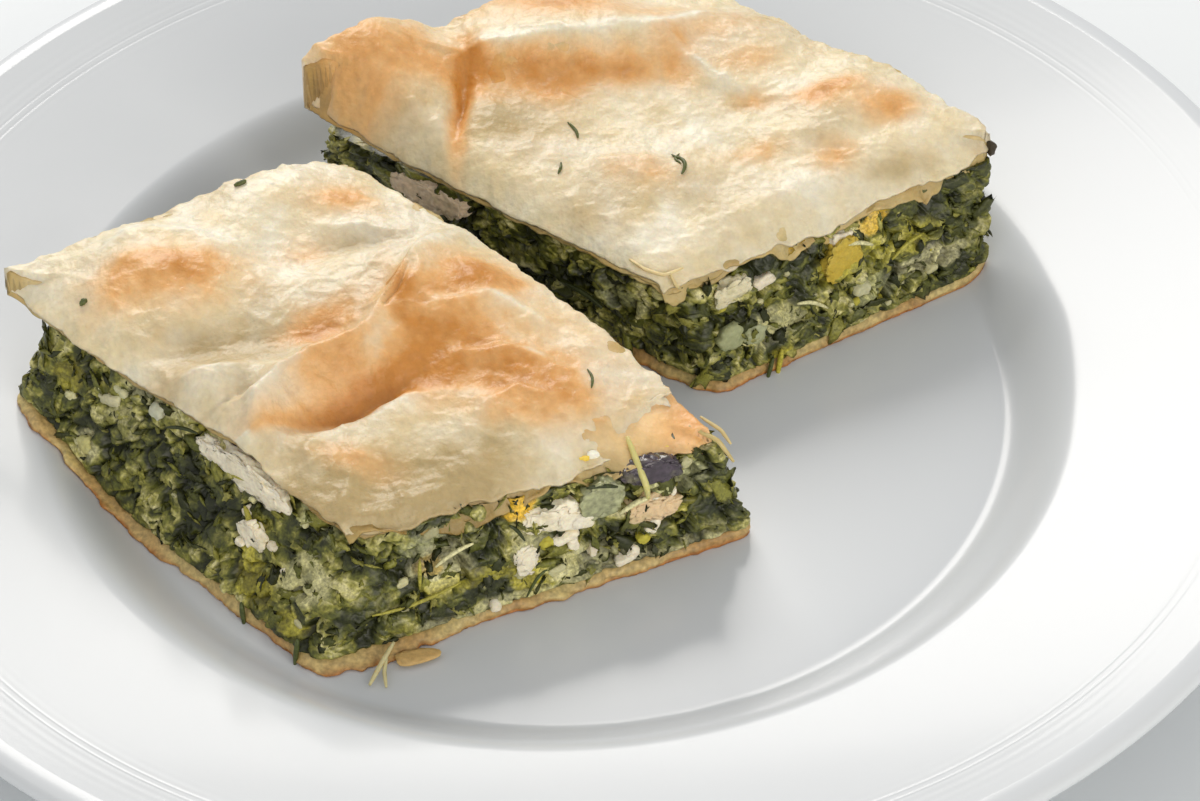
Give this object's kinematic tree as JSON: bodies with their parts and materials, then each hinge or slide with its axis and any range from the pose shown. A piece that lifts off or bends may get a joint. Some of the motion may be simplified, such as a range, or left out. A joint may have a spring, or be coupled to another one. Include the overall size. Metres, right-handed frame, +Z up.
{
  "type": "plated spinach pie",
  "caption": "Diamond-cut slices of spinach and feta filo pie, blistered golden tops and open green cut faces, on a white rimmed dinner plate.",
  "frame": {"origin": "centre of the plate's foot, on the surface it stands on", "axes": "+Z up through the plate; +X to the right and +Y away from the side that the slices' cut faces turn to"},
  "size_m": [0.27, 0.27, 0.0524],
  "materials": {
    "glaze": "white glazed porcelain",
    "top_crust": "baked filo pastry, cream with golden-brown blisters",
    "bottom_crust": "thin baked filo base, golden brown",
    "spinach_filling": "moist chopped spinach with curd",
    "feta": "crumbly white cheese",
    "onion": "soft translucent cooked onion",
    "purple_onion": "soft cooked red onion",
    "egg_yolk": "set egg"
  },
  "bodies": {
    "root": {"plate": "glaze", "front_bottom_crust": "bottom_crust", "front_filling": "spinach_filling", "front_top_crust": "top_crust", "back_bottom_crust": "bottom_crust", "back_filling": "spinach_filling", "back_top_crust": "top_crust", "front_feta_slab": "feta", "front_feta_crumb": "feta", "front_feta_middle": "feta", "front_feta_sliver": "feta", "front_feta_tan": "feta", "front_onion_clear": "onion", "front_onion_purple": "purple_onion", "back_feta_slab": "feta", "back_egg_yolk": "egg_yolk", "back_feta_crumb": "feta"}
  },
  "joints": []
}
